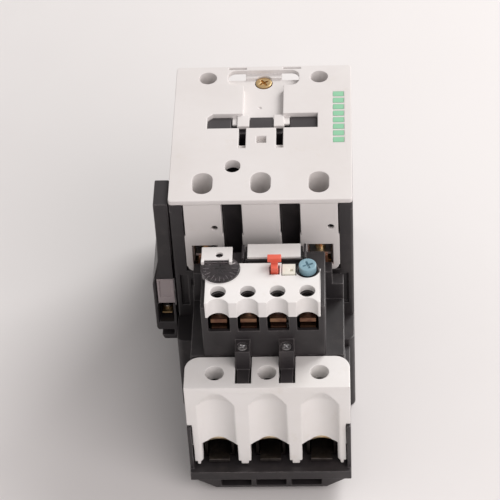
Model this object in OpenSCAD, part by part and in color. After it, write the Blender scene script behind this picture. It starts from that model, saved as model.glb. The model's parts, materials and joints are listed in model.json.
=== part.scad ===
// Magnetic motor starter: a three-pole contactor with a side contact block and, below it,
// a thermal overload relay on three copper tabs.
// The origin is the centre of the four panel holes, on the back face.
// +X is to the right, +Y is up the panel and +Z is towards the front.

/* [Contactor] */
// Distance between neighbouring poles
pole_pitch = 27; // [25:0.5:33]
// Inside width of one pole chamber
chamber_w = 18.4; // [17:0.2:20]
// Thickness of the black side walls
side_wall = 6.3; // [6:0.1:9]
// Height of the base along the panel
base_h = 127; // [122:1:153]
// Height of the front part along the panel
front_h = 95; // [92:1:100]
// Depth from the back face to the front face
depth = 125; // [122:1:150]
// Thickness of the front cover's plate
cover_t = 5; // [4:0.5:6]
// Level of the terminal bars above the back face
bar_z = 80; // [78:0.5:84]

/* [Magnet] */
// Width of the laminated core
core_w = 60; // [52:1:64]
// Thickness of the stack of laminations
stack_t = 24; // [18:1:28]
// Thickness of the core's yoke
yoke_t = 11; // [9:0.5:13]
// Length of the fixed core's legs
leg_h = 18; // [16:0.5:20]
// Width of the core's middle leg
mid_leg_w = 18; // [15:1:20]

/* [Relay] */
// Offset of the relay to the right of the contactor
relay_x = 2.2; // [0:0.1:4]
// Width of the relay's power block
relay_w = 76; // [74:1:91]
// Distance from the base's lower edge down to the relay's lower end
end_drop = 54.2; // [52:0.1:60]
// Distance from the base's lower edge down to the step between the two terminal rows
step_drop = 30.5; // [29:0.5:32.5]
// Front level of the power terminals
power_z = 70; // [68:0.5:72]
// Front level of the control terminals
control_z = 105.5; // [103:0.5:108]
// Distance between the power terminals
power_pitch = 24.1; // [23:0.1:25]
// Distance between the control terminals
control_pitch = 13.5; // [12.5:0.1:14]
// Radius of the current setting dial
dial_r = 8.8; // [7:0.1:9]

/* [Travel] */
// Stroke of the contact carrier
carrier_travel = 5; // [3:0.5:5]
// Stroke of the rail clip
clip_travel = 3; // [2:0.5:3.5]
// Stroke of the stop button
stop_travel = 2.4; // [1:0.1:2.6]
// Stroke of the reset button
reset_travel = 2; // [1:0.1:2.2]

/* [Fits] */
// Clearance around moving pieces
gap = 0.3; // [0.2:0.05:0.4]
// Radial clearance of running shafts
run_gap = 0.06; // [0.03:0.01:0.1]
// Wall of the moulded shells
wall = 1.8; // [1.5:0.1:2.2]

/* [Hidden] */
$fn = 48;
eps = 0.01;

// Colours
black = [0.13, 0.12, 0.13];
grey_white = [0.88, 0.87, 0.87];
white = [0.93, 0.92, 0.92];
brass = [0.72, 0.56, 0.30];
copper = [0.72, 0.42, 0.28];
steel = [0.62, 0.62, 0.64];

// Contactor outline
poles = [-1, 0, 1];
body_w = 2 * pole_pitch + chamber_w + 2 * side_wall;
half_w = body_w / 2;
half_base = base_h / 2;
half_front = front_h / 2;
step_y = half_base + step_drop;
relay_end = half_base + end_drop;
end_y = half_front - 0.5;
cover_z = depth - cover_t;
rim_t = 2.5;
rim_y = half_front - 6;
rim_z = depth - rim_t;

// Back of the base and the rail channel
rail_w = 35.4;
rail_d = 8.5;
rail_lip = 1.5;
rail_lip_t = 3;
floor_t = 3.5;
hole_x = 20;
hole_y = 54;
hole_r = 2.6;
hole_seat = 9;
driver_r = 5;

// Magnet levels
pad_t = 1;
core_z = rail_d + floor_t + pad_t;
leg_z = core_z + yoke_t;
core_top = leg_z + leg_h;
contact_gap = carrier_travel + gap;
arm_leg_h = 6;
arm_z = core_top + contact_gap;
arm_top = arm_z + arm_leg_h + yoke_t - 1;
base_d = core_top + 6;
outer_leg_w = 10;
coil_x = core_w / 2 - outer_leg_w - 0.5;
coil_y = stack_t / 2 + 10.5;
coil_top = core_top - 0.4;
flange_t = 1.6;
bobbin_wall = 1.2;
cavity_x = core_w / 2 + 1;
cavity_y = coil_y + 2.5;

// Contact levels
bar_t = 2.5;
bar_w = 10;
tip_t = 1.5;
tip_y = 13.5;
tip_l = 7;
bar_top = bar_z + bar_t;
bridge_z = bar_top + 2 * tip_t + contact_gap;
bridge_t = 2.5;
bridge_w = 8;
chamber_floor = arm_top + 9;
chamber_y = end_y - 2;
shroud_w = chamber_w - 1;
shroud_z = bar_z - 1;
shroud_in_y = 34;
shroud_wall = 1.6;
window_w = 12;
window_h = 13.5;
gap_recess_y = end_y - 6;
clamp_y = [34.5, 43.8];
clamp_mid = (clamp_y[0] + clamp_y[1]) / 2;
clamp_out = 6.5;
clamp_in = 5.3;
clamp_z = [bar_z - 3, bar_z + 18];
clamp_t = 1.5;

// Carrier
post_w = 13;
post_y = 6;
space_x = pole_pitch + post_w / 2 + 1.5;
plate_z = [arm_top, arm_top + 4.5];
spring_tongue_y = coil_y - 0.5;
spring_y = stack_t / 2 + 6.6;
spring_r = 2.9;
wire_r = 0.4;
slot_x = 26.3;
slot_y = [2.6, 12.7];
bar_low = cover_z - 12;
bar_high = depth - 2.2;
window_top = bridge_z + 15;

// Front face
hole_row_low = -35.5;
hole_row_top = clamp_mid;
oval_w = 9.4;
oval_h = 14;
sleeve_t = 1.2;
sleeve_l = 14;
top_hole_r = 4.2;
coil_hole = [-pole_pitch / 2 + 0.2, -24];
coil_hole_r = 3.6;
peep_r = 1.5;
recess_x = 17.2;
recess_y = 33.5;
recess_t = 3.8;
channel_x = [-9.4, 9.8];
marker = [[33.6, 38.9], [-9, 28.5]];
marker_t = 0.6;
marker_cells = 8;
marker_pitch = (marker[1][1] - marker[1][0]) / marker_cells;
marker_h = marker_pitch - 1.2;

// Relay
relay_l = relay_x - relay_w / 2;
relay_r = relay_x + relay_w / 2;
control_x = relay_x - 1;
control_w = 4 * control_pitch - 1.5;
casing_w = control_w + 4;
casing_y = [-step_y + 0.5, -step_y + 36];
shelf_z = 15;
tray_top = 44;
shoulder_w = relay_w - 5;
shoulder_top = bar_z;
hood_top = bar_z + 8;
hood_w = 11;
relay_back_y = -half_base - 0.7;
relay_mid_y = -end_y - 4;
power_y = -step_y - 10;
power_front = relay_end - 4.1;
barrel_r = 8.4;
barrel_z = 30;
power_bar_z = [shelf_z + 1.8, shelf_z + 3.8];
deck_z = control_z - 3.5;
entry_z = [control_z - 19, control_z - 9.5];
control_hole_y = -step_y + 7.4;
tab_w = 7;
tab_t = 3;
tab_z = bar_top;
dial_c = [control_x - 19.6, -step_y + 22];
stop_c = [control_x + 5.25, -step_y + 21];
reset_c = [control_x + 20.4, -step_y + 21.4];
reset_r = 4;
boss_x = [control_x - 9.9, control_x + 10.2];
boss_w = 6.8;

// Side block
side_x = -half_w - 0.3;
side_front = 122.5;
side_out = side_x - 6.8;
side_flare = side_x - 10.7;
side_near = -47;
side_hump = -30;
side_far = 20;

module block(x, y, z) {
    translate([x[0], y[0], z[0]]) cube([x[1] - x[0], y[1] - y[0], z[1] - z[0]]);
}

// A box whose four edges along Z are rounded
module round_block(x, y, z, r) {
    translate([0, 0, z[0]]) linear_extrude(z[1] - z[0]) union() {
        translate([x[0] + r, y[0]]) square([x[1] - x[0] - 2 * r, y[1] - y[0]]);
        translate([x[0], y[0] + r]) square([x[1] - x[0], y[1] - y[0] - 2 * r]);
        for (cx = [x[0] + r, x[1] - r], cy = [y[0] + r, y[1] - r]) translate([cx, cy]) circle(r);
    }
}

// An upright slot with round ends, long along Y
module oval(w, h, z) {
    translate([0, 0, z[0]]) linear_extrude(z[1] - z[0]) union() {
        for (s = [-1, 1]) translate([0, s * (h - w) / 2]) circle(w / 2);
        translate([-w / 2, -(h - w) / 2]) square([w, h - w]);
    }
}

module at_poles() {
    for (p = poles) translate([p * pole_pitch, 0, 0]) children();
}

// Copies a piece at the lower end to the upper end too
module at_both_ends() {
    children();
    mirror([0, 1, 0]) children();
}

// A cross-head screw whose head's top is at z = 0
module cross_screw(head_r, head_h, shank_r, shank_l) {
    difference() {
        union() {
            translate([0, 0, -head_h]) cylinder(r = head_r, h = head_h);
            translate([0, 0, -head_h - shank_l]) cylinder(r = shank_r, h = shank_l + 0.1);
        }
        for (a = [0, 90]) rotate([0, 0, a + 35])
            translate([-head_r * 0.62, -head_r * 0.13, -head_h * 0.6])
                cube([head_r * 1.24, head_r * 0.26, head_h]);
    }
}

// A wire spring that stands on z = 0, with its end turns clear of the seats
module coil_spring(r, wire, len, turns) {
    steps = 12;
    sides = 6;
    n = turns * steps;
    rise = len - 2 * wire;
    points = [for (i = [0:n], k = [0:sides - 1])
        let (a = i * 360 / steps, b = k * 360 / sides, q = r + wire * cos(b))
        [q * cos(a), q * sin(a), wire + rise * i / n + wire * sin(b)]];
    skin = [for (i = [0:n - 1], k = [0:sides - 1])
        let (m = (k + 1) % sides)
        [i * sides + m, (i + 1) * sides + m, (i + 1) * sides + k, i * sides + k]];
    ends = [[for (k = [sides - 1:-1:0]) k], [for (k = [0:sides - 1]) n * sides + k]];
    polyhedron(points, concat(skin, ends), convexity = 8);
}

module base_housing() {
    color(black) difference() {
        round_block([-half_w, half_w], [-half_base, half_base], [0, base_d], 3);
        block([-cavity_x, cavity_x], [-cavity_y, cavity_y], [rail_d + floor_t, base_d + 1]);
        rail_channel();
        for (sx = [-1, 1], sy = [-1, 1]) translate([sx * hole_x, sy * hole_y, -1]) {
            cylinder(r = hole_r, h = base_d + 2);
            translate([0, 0, hole_seat + 1]) cylinder(r = driver_r, h = base_d);
        }
        clip_pocket();
        at_housing_screws() translate([0, 0, -1]) {
            cylinder(r = 1.7, h = base_d + 2);
            cylinder(r = 3.6, h = 4.5);
        }
        coil_strip_slot();
        translate([coil_top_x, coil_top_y, base_d - 12]) cylinder(r = 1.5, h = 13);
    }
}

// Slot that holds the flanges of a 35 mm top-hat rail
module rail_channel() {
    block([-half_w - 1, half_w + 1], [-rail_w / 2, rail_w / 2 - rail_lip], [-1, rail_d]);
    block([-half_w - 1, half_w + 1], [0, rail_w / 2], [rail_lip_t, rail_d]);
}

clip_w = 24;
clip_t = 3.2;
clip_end = -half_base + 4;
clip_top = rail_lip_t;
post_end = -36;
// Guide of the rail clip, wider at its plate, with the post that its spring pushes on
module clip_pocket() {
    y = [clip_end - clip_travel - 8, -rail_w / 2 + eps];
    difference() {
        union() {
            block([-clip_w / 2 - gap, clip_w / 2 + gap], y, [clip_top - gap, clip_top + clip_t + gap]);
            block([-clip_w / 2 + 2, clip_w / 2 - 2], y, [-1, clip_top]);
        }
        block([-2, 2], [post_end - 3.5, post_end], [clip_top + gap, clip_top + clip_t + 1]);
    }
}

screw_x = cavity_x + 5.2;
screw_y = cavity_y + 5;
module at_housing_screws() {
    for (sx = [-1, 1], sy = [-1, 1]) translate([sx * screw_x, sy * screw_y, 0]) children();
}

coil_top_x = pole_pitch / 2;
coil_top_y = (half_front + half_base) / 2;
module coil_strip_slot() {
    block([coil_top_x - 2.5, coil_top_x + 2.5], [cavity_y - eps, coil_top_y - 4], [base_d - 3, base_d + 1]);
}

module contact_housing() {
    color(black) difference() {
        union() {
            round_block([-half_w, half_w], [-end_y, end_y], [base_d, cover_z], 1.2);
            at_both_ends() block([-half_w + 0.2, half_w - 0.2], [-end_y, -rim_y - gap], [cover_z - 2, rim_z]);
        }
        block([-space_x, space_x], [-cavity_y, cavity_y], [base_d - 1, plate_z[1] + 1.5]);
        at_poles() {
            block([-chamber_w / 2, chamber_w / 2], [-chamber_y, chamber_y],
                  [chamber_floor, depth]);
            block([-chamber_w / 2, chamber_w / 2], [-end_y - 1, end_y + 1], [shroud_z, depth]);
            block([-post_w / 2 - 1, post_w / 2 + 1], [-post_y - 1, post_y + 1],
                  [plate_z[1], chamber_floor + 1]);
        }
        carrier_slot();
        for (s = [-1, 1]) {
            gap_recesses(s);
            translate([s * pole_pitch / 2, 0, 0]) lightening();
        }
        coil_shaft();
        at_housing_screws() translate([0, 0, base_d - 1]) cylinder(r = 1.4, h = 14);
        side_drive_slot();
        for (sx = [-1, 1]) end_steps(sx);
    }
}

// The lower part of each end face is stepped beside the relay
module end_steps(s) {
    translate([s * (half_w - 4.4), 0, 0])
        block([-1.7, 1.7], [-end_y - 1, -end_y + 1.6], [base_d + 8, shroud_z - 3]);
    translate([s * (half_w - 9.5), 0, 0])
        block([-1.6, 1.6], [-end_y - 1, -end_y + 2.2], [base_d + 18, shroud_z - 6]);
}

// Room for the carrier's bars across the partitions
module carrier_slot() {
    block([-pole_pitch - post_w / 2 - 1, pole_pitch + post_w / 2 + 1], [-post_y - 1, slot_y[1] + 0.8],
          [bar_low - carrier_travel - 1, cover_z + 1]);
}

module gap_recesses(s) {
    at_both_ends() for (x = [s * pole_pitch / 2])
        block([x - (pole_pitch - chamber_w) / 2 - 1, x + (pole_pitch - chamber_w) / 2 + 1],
              [-end_y - 1, -gap_recess_y], [shroud_z, depth]);
}

// The partitions are hollow, open to the front
module lightening() {
    for (s = [-1, 1]) translate([0, s * 24, 0])
        block([-(pole_pitch - chamber_w) / 2 + 1.2, (pole_pitch - chamber_w) / 2 - 1.2], [-7.5, 7.5],
              [chamber_floor + 3, cover_z + 1]);
}

// Shaft for the lower coil terminal between two poles
module coil_shaft() {
    block([coil_hole[0] - 2.8, coil_hole[0] + 2.8], [coil_hole[1] + 1, coil_hole[1] + 3.4],
          [plate_z[1] - 3, chamber_floor + 4]);
    translate([coil_hole[0], coil_hole[1] - 0.6, chamber_floor - 1]) cylinder(r = coil_screw_r + 0.2, h = 6);
}

coil_screw_r = 1.3;
drive_pin_y = 8;
drive_pin_z = plate_z[1] - 2.2;
drive_pin_r = 1.5;
module side_drive_slot() {
    block([-half_w - 1, -space_x + 1], [drive_pin_y - drive_pin_r - 1, drive_pin_y + drive_pin_r + 1],
          [drive_pin_z - carrier_travel - drive_pin_r - 1, drive_pin_z + drive_pin_r + 1]);
}

module front_cover() {
    color(grey_white) union() {
        difference() {
            union() {
                round_block([-half_w, half_w], [-half_front, half_front], [rim_z, depth], 1.6);
                block([-half_w, half_w], [-rim_y, rim_y], [cover_z, rim_z + eps]);
            }
            front_cuts();
        }
        rail_tabs();
        at_both_ends() shrouds();
        sleeves();
    }
}

// Sleeves that lead the screwdriver; the lower ones have a notch
module sleeves() {
    z = [cover_z - sleeve_l, cover_z + eps];
    w = 2 * sleeve_t;
    at_poles() translate([0, hole_row_low, 0]) difference() {
        oval(oval_w + w, oval_h + w, z);
        oval(oval_w, oval_h, [z[0] - 1, z[1] + 1]);
        block([-1, 1], [-oval_h / 2 - w, -oval_h / 2 + 1], [z[0] - 1, z[1] - 0.5]);
    }
    for (p = [-1, 1]) translate([p * pole_pitch, hole_row_top, 0]) difference() {
        translate([0, 0, z[0]]) cylinder(r = top_hole_r + sleeve_t, h = sleeve_l + eps);
        translate([0, 0, z[0] - 1]) cylinder(r = top_hole_r, h = sleeve_l + 3);
    }
}

module front_cuts() {
    z = [cover_z - 1, depth + 1];
    at_poles() {
        translate([0, hole_row_low, 0]) oval(oval_w, oval_h, z);
        translate([0, hole_row_top, 0]) oval(2 * top_hole_r, 2 * top_hole_r + 0.02, z);
    }
    translate([coil_hole[0], coil_hole[1], 0]) oval(2 * coil_hole_r, 2 * coil_hole_r + 1, z);
    translate([0, 0, z[0]]) linear_extrude(z[1] - z[0]) window_shape(0);
    for (x = [-9.3, 8.4]) {
        block([x - 1.7, x + 1.7], [-6, slot_y[0] + 1], z);
        block([x - 1.7, x + 1.7], [-11.5, -5.9], [depth - 3.4, depth + 1]);
    }
    block([-2.5, 2], [-8, -3.4], [depth - 3, depth + 1]);
    recess();
    for (x = [[-17, -8.4], [9.4, 18]])
        block(x, [half_front - 2.1, half_front - 1], [depth - 2, depth + 1]);
    at_marker_cells() block(marker[0], [0, marker_h], [depth - marker_t, depth + 1]);
    translate([-1.6, 21, depth - recess_t - 0.6]) cylinder(r = 0.8, h = 2);
}

// Outline of the window that shows the carrier, with one cut corner
module window_shape(inset) {
    cut = 2.5 + 0.42 * inset;
    polygon([
        [-slot_x + inset, slot_y[0] + inset], [slot_x - inset, slot_y[0] + inset],
        [slot_x - inset, slot_y[1] - inset], [-slot_x + cut, slot_y[1] - inset],
        [-slot_x + inset, slot_y[1] - cut]]);
}

// Guide for a front block: a wide pocket at the top that leads into a channel
module recess() {
    z = [depth - recess_t, depth + 1];
    round_block([-recess_x, recess_x], [recess_y, half_front - 3.1], z, 4);
    block(channel_x, [slot_y[1] - 1, recess_y + 6], z);
}

tongue_room = [[-14.9, -5.9], [5.1, 13.3]];
// Two tongues that guide a front block across the window
module rail_tabs() {
    for (x = [[-12, -6.2], [5.4, 10.4]]) {
        block(x, [5, slot_y[1] + 0.5], [depth - 3.2, depth - 1.2]);
        out = x[0] < 0 ? [x[0] - 2.4, x[0] + 0.5] : [x[1] - 0.5, x[1] + 2.6];
        block(out, [7.4, slot_y[1] + 0.5], [depth - 3.6, depth - 2.2]);
    }
}

// Pole shrouds of the lower end, each a box open inwards with a cable window
module shrouds() {
    w = shroud_w / 2;
    for (p = poles) translate([p * pole_pitch, 0, 0]) difference() {
        union() {
            block([-w, w], [-half_front + 0.4, -shroud_in_y], [shroud_z + 3, rim_z + eps]);
            block([-w - 0.5, w + 0.5], [-half_front + 0.4, -end_y + 2],
                  [shroud_z + 3, cover_z - 18]);
            translate([0, -shroud_in_y, 0]) rotate([90, 0, 0])
                round_block([-w, w], [shroud_z, shroud_z + 12],
                            [0, half_front - 0.4 - shroud_in_y], 3);
        }
        block([-w + shroud_wall, w - shroud_wall], [-half_front + 2.2, -shroud_in_y + 1],
              [shroud_z - 1, cover_z]);
        block([-w - 1, w + 1], [-half_front + 6, -shroud_in_y + 1], [cover_z, depth]);
        block([-window_w / 2, window_w / 2], [-half_front - 1, -half_front + 4],
              [bar_top - 0.3, bar_top - 0.3 + window_h]);
        translate([0, hole_row_low, 0]) oval(oval_w, oval_h, [cover_z - 3, depth + 1]);
        translate([0, -clamp_mid, cover_z - 3]) cylinder(r = top_hole_r, h = cover_t + 4);
        if (p != 0) translate([5.2, -half_front - 1, depth - 18]) rotate([-90, 0, 0])
            cylinder(r = peep_r, h = 4);
    }
}

module at_marker_cells() {
    for (i = [0:marker_cells - 1]) translate([0, marker[1][0] + i * marker_pitch + 0.6, 0]) children();
}

// Green marks set into the front cover
module marker_strip() {
    color([0.60, 0.79, 0.66]) at_marker_cells()
        block(marker[0] + [gap / 3, -gap / 3], [gap / 3, marker_h - gap / 3], [depth - marker_t, depth]);
}

// One terminal bar of the lower end, with its silver contact tip
module terminal_bar() {
    block([-bar_w / 2, bar_w / 2], [-clamp_y[1] - 0.2, -tip_y + tip_l / 2], [bar_z, bar_top]);
    block([-bridge_w / 2, bridge_w / 2], [-tip_y - tip_l / 2, -tip_y + tip_l / 2],
          [bar_top, bar_top + tip_t]);
}

module line_terminals() {
    color(brass) at_poles() mirror([0, 1, 0]) terminal_bar();
}

module load_terminals() {
    color(brass) at_poles() terminal_bar();
}

// A cage that a screw pulls up against the bar, and the plate under the screw
module cage(plate_z0) {
    difference() {
        block([-clamp_out, clamp_out], [-clamp_y[1], -clamp_y[0]], clamp_z);
        block([-clamp_in, clamp_in], [-clamp_y[1] - 1, -clamp_y[0] + 1],
              [clamp_z[0] + clamp_t, clamp_z[1] - clamp_t]);
        translate([0, -clamp_mid, clamp_z[1] - 3]) cylinder(r = clamp_screw_r, h = 4);
    }
    block([-clamp_in + gap, clamp_in - gap], [-clamp_y[1] + 0.5, -clamp_y[0] - 0.5],
          [plate_z0, plate_z0 + clamp_t]);
}

clamp_screw_r = 2.5;
line_plate_z = clamp_z[1] - 2 * clamp_t - 0.6;
load_plate_z = tab_z + tab_t;

module line_clamps() {
    color(steel) at_poles() mirror([0, 1, 0]) cage(line_plate_z);
}

module load_clamps() {
    color(steel) at_poles() cage(load_plate_z);
}

head_r = 3.9;
head_h = 3;
// The shank ends on the pressure plate; the cage's hole is cut to the shank
module pole_screw(head_top, foot_z) {
    translate([0, 0, head_top])
        cross_screw(head_r, head_h, clamp_screw_r, head_top - head_h - foot_z);
}

seated_top = clamp_z[1] + head_h + 3;
raised_top = depth - recess_t + 0.4;

module line_screws() {
    color(brass) for (p = poles) translate([p * pole_pitch, clamp_mid, 0])
        pole_screw(p == 0 ? raised_top : seated_top, line_plate_z + clamp_t);
}

module load_screws() {
    color(brass) for (p = poles) translate([p * pole_pitch, -clamp_mid, 0])
        pole_screw(seated_top, load_plate_z + clamp_t);
}

// Splitter plates above the contact tips
module arc_plates() {
    color(steel) at_both_ends() at_poles() for (i = [0:3])
        block([-chamber_w / 2 + 0.6, chamber_w / 2 - 0.6], [-26.9 + i * 2.3, -25.9 + i * 2.3],
              [bar_top + 4, cover_z - 3]);
}

module contact_carrier() {
    color([0.2, 0.19, 0.2]) difference() {
        union() {
            block([-core_w / 2, core_w / 2], [-stack_t / 2, stack_t / 2], plate_z);
            block([-6, 6], [-spring_tongue_y, spring_tongue_y], plate_z);
            at_poles() block([-post_w / 2, post_w / 2], [-post_y, post_y], [plate_z[0], bar_low + 1]);
            block([-pole_pitch - post_w / 2, pole_pitch + post_w / 2], [-post_y, slot_y[1] - gap],
                  [bar_low, bar_low + 5]);
            translate([0, 0, bar_low + 4]) linear_extrude(bar_high - bar_low - 4) window_shape(gap);
            for (s = [-1, 1]) block([-9, 9], [s * (stack_t / 2 + 1.6) - 1.2, s * (stack_t / 2 + 1.6) + 1.2],
                                    [arm_top - 7, plate_z[0] + 1]);
            drive_arm();
        }
        at_poles() block([-bridge_w / 2 - gap, bridge_w / 2 + gap], [-post_y - 1, post_y + 1],
                         [bridge_z, window_top]);
        for (x = tongue_room) block(x, [0, slot_y[1] + 1], [depth - 4.1, depth]);
        translate([0, 0, pin_z]) rotate([90, 0, 0]) cylinder(r = pin_r, h = 60, center = true);
    }
}

pin_r = 1.5;
pin_z = arm_top - 4;

// Arm that drives the side block's slide through the housing wall
module drive_arm() {
    difference() {
        block([-core_w / 2 - 4.6, -core_w / 2 + 1], [drive_pin_y - 3.4, drive_pin_y + 3.4], plate_z);
        translate([-core_w / 2 - 6, drive_pin_y, drive_pin_z]) rotate([0, 90, 0])
            cylinder(r = drive_pin_r + gap, h = 5.2);
    }
}

module armature_pin() {
    color(steel) translate([0, 0, pin_z]) rotate([90, 0, 0])
        cylinder(r = pin_r, h = stack_t + 5.2, center = true);
}

// The three-legged outline of both cores
module core_shape(yoke, legs) {
    block([-core_w / 2, core_w / 2], [-stack_t / 2, stack_t / 2], yoke);
    for (x = [-core_w / 2, -mid_leg_w / 2, core_w / 2 - outer_leg_w])
        block([x, x + (x == -mid_leg_w / 2 ? mid_leg_w : outer_leg_w)], [-stack_t / 2, stack_t / 2], legs);
}

module armature() {
    color(steel) difference() {
        core_shape([arm_z + arm_leg_h, arm_top], [arm_z, arm_z + arm_leg_h + 1]);
        translate([0, 0, pin_z]) rotate([90, 0, 0]) cylinder(r = pin_r, h = 60, center = true);
    }
}

module fixed_core() {
    color(steel) difference() {
        core_shape([core_z, leg_z], [leg_z - 1, core_top]);
        for (s = [-1, 1]) ring_groove(s, 0);
    }
}

// Groove in the top of an outer leg for its shading ring
module ring_groove(s, fit) {
    x = s * (core_w / 2 - outer_leg_w / 2);
    difference() {
        block([x - 3.6 + fit, x + 3.6 - fit], [-stack_t / 2 + 2 + fit, stack_t / 2 - 2 - fit],
              [core_top - 2.6, core_top + (fit > 0 ? -0.2 : 1)]);
        block([x - 1.8 - fit, x + 1.8 + fit], [-stack_t / 2 + 3.8 - fit, stack_t / 2 - 3.8 + fit],
              [core_top - 3, core_top + 2]);
    }
}

module shading_rings() {
    color(copper) for (s = [-1, 1]) ring_groove(s, 0.05);
}

module core_pad() {
    color([0.2, 0.2, 0.2]) block([-core_w / 2 + 1, core_w / 2 - 1], [-stack_t / 2, stack_t / 2],
                                 [core_z - pad_t, core_z]);
}

module coil_bobbin() {
    ix = mid_leg_w / 2 + gap;
    iy = stack_t / 2 + gap;
    z = [leg_z + gap, coil_top];
    color([0.85, 0.82, 0.72]) difference() {
        union() {
            block([-ix - bobbin_wall, ix + bobbin_wall], [-iy - bobbin_wall, iy + bobbin_wall], z);
            for (z0 = [z[0], z[1] - flange_t]) block([-coil_x, coil_x], [-coil_y, coil_y],
                                                     [z0, z0 + flange_t]);
        }
        block([-ix, ix], [-iy, iy], [z[0] - 1, z[1] + 1]);
    }
}

module coil_winding() {
    ix = mid_leg_w / 2 + gap + bobbin_wall;
    iy = stack_t / 2 + gap + bobbin_wall;
    z = [leg_z + gap + flange_t, coil_top - flange_t];
    color([0.55, 0.30, 0.16]) difference() {
        round_block([-coil_x + 0.6, coil_x - 0.6], [-coil_y + 0.6, coil_y - 0.6], z, 2.5);
        block([-ix, ix], [-iy, iy], [z[0] - 1, z[1] + 1]);
    }
}

lower_strip_top = chamber_floor + 12;
// Brass strips from the coil: one rises between two poles, one ends on the upper ledge
module coil_terminals() {
    x = coil_hole[0];
    y = coil_hole[1];
    color(brass) {
        block([x - 2.2, x + 2.2], [y + 1.4, y + 2.6], [coil_top, chamber_floor + 3]);
        block([x - 2.2, x + 2.2], [y + 1.4, -coil_y + 4], [coil_top, coil_top + 1]);
        difference() {
            block([x - 2.8, x + 2.8], [y - 4, y + 2.6], [chamber_floor + 3, chamber_floor + 4.2]);
            translate([x, y - 0.6, chamber_floor]) cylinder(r = coil_screw_r, h = 8);
        }
        difference() {
            union() {
                block([coil_top_x - 4, coil_top_x + 4], [coil_top_y - 4.4, coil_top_y + 5],
                      [base_d, base_d + 1.2]);
                block([coil_top_x - 2.2, coil_top_x + 2.2], [cavity_y + 0.2, coil_top_y - 4.3],
                      [base_d - 1.2, base_d]);
                block([coil_top_x - 2.2, coil_top_x + 2.2], [coil_y - 3, cavity_y + 0.4],
                      [base_d - 1.2, base_d - 0.2]);
                block([coil_top_x - 2.2, coil_top_x + 2.2], [coil_y - 3, coil_y - 2],
                      [coil_top, base_d - 1]);
            }
            translate([coil_top_x, coil_top_y, base_d - 5]) cylinder(r = 1.5, h = 10);
        }
    }
}

module coil_screws() {
    color(steel) {
        translate([coil_hole[0], coil_hole[1] - 0.6, chamber_floor + 4.2 + 2])
            cross_screw(2.5, 2, coil_screw_r, 3);
        translate([coil_top_x, coil_top_y, base_d + 3.6]) cross_screw(3.4, 2.4, 1.5, 10);
    }
}

module return_springs() {
    color(steel) for (s = [-1, 1]) translate([0, s * spring_y, coil_top])
        coil_spring(spring_r, wire_r, plate_z[0] - coil_top, 6);
}

module contact_springs() {
    color(steel) at_poles() translate([0, 0, bridge_z + bridge_t])
        coil_spring(2.9, wire_r, window_top - bridge_z - bridge_t, 5);
}

// Bridges that close the poles, with silver tips below each end
module moving_contacts() {
    color(copper) at_poles() {
        block([-bridge_w / 2, bridge_w / 2], [-tip_y - tip_l / 2, tip_y + tip_l / 2],
              [bridge_z, bridge_z + bridge_t]);
        for (s = [-1, 1]) block([-bridge_w / 2, bridge_w / 2],
                                [s * tip_y - tip_l / 2, s * tip_y + tip_l / 2], [bridge_z - tip_t, bridge_z]);
    }
}

// Spring-loaded foot that grips the rail's lower flange; its tab shows at the lower edge
module rail_clip() {
    w = clip_w / 2;
    n = w - 2 - gap;
    color(black) difference() {
        union() {
            block([-w, w], [clip_end, -rail_w / 2 - 0.4], [clip_top, clip_top + clip_t]);
            block([-n, n], [-rail_w / 2 - 3, -rail_w / 2 + 1.4], [0.4, clip_top + 0.1]);
            block([-n, n], [clip_end, clip_end + 5], [0.4, clip_top + 0.1]);
        }
        block([-5, 5], [post_end - 4, post_end + 10], [clip_top - 1, clip_top + clip_t + 1]);
        block([-3, 3], [clip_end + 1.2, clip_end + 3.4], [-1, clip_top + clip_t + 1]);
    }
}

module rail_spring() {
    color(steel) translate([0, post_end, clip_top + clip_t / 2]) rotate([-90, 0, 0])
        coil_spring(1.1, 0.25, 10, 7);
}

// Screws from the back that hold the contact housing on the base
module housing_screws() {
    color(steel) at_housing_screws() translate([0, 0, 3.5 - 2.6]) mirror([0, 0, 1])
        cross_screw(3.2, 2.6, 1.4, base_d + 6);
}

// Outline of the side block seen along the panel, from the back to the front
module side_profile(inset) {
    polygon([
        [side_x - inset, 32 + inset], [side_out - 0.6 + inset, 32 + inset], [side_flare + inset, 40],
        [side_flare + inset, 70], [side_out - 0.4 + inset, 86], [side_out + inset, 98],
        [side_out + inset, side_front - inset], [side_x - inset, side_front - inset]]);
}

// Outline of the side block seen from the left, stepping back behind the hump
module side_elevation(inset) {
    polygon([
        [side_near + inset, 30], [side_near + inset, side_front + 1], [side_hump - inset, side_front + 1],
        [side_hump - inset, 94 - inset], [-16, 88 - inset], [side_far - inset, 66 - inset],
        [side_far - inset, 30]]);
}

module side_body(inset) {
    intersection() {
        rotate([90, 0, 0]) linear_extrude(2 * half_base, center = true) side_profile(inset);
        rotate([90, 0, 90]) linear_extrude(3 * body_w, center = true) side_elevation(inset);
    }
}

module side_housing() {
    color(black) difference() {
        side_body(0);
        side_cavity();
        side_terminal_bay();
        block([side_flare - 1, side_x - wall - 0.5], [side_near - 1, side_near + 7], [35, 38.5]);
        block(side_cover_x + [-gap, gap], [side_near - 1, side_near + 3 + gap], side_cover_z + [-gap, gap]);
        translate([side_x - 4, drive_pin_y, 0])
            block([-1, 6], [-drive_pin_r - 1, drive_pin_r + 1],
                  [drive_pin_z - carrier_travel - drive_pin_r - 1, drive_pin_z + drive_pin_r + 1]);
        block([side_flare - 1, side_out + 0.7], [side_hump - 9, side_hump - 2], [100, side_front - 4]);
        for (z = [46, 60]) block([(side_flare + side_x) / 2 - 2.7, (side_flare + side_x) / 2 + 2.7],
                                 [bay_y - 1, slide_y[0]], [z - gap, z + 1 + gap]);
    }
}

slide_y = [-12, 12];
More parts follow.
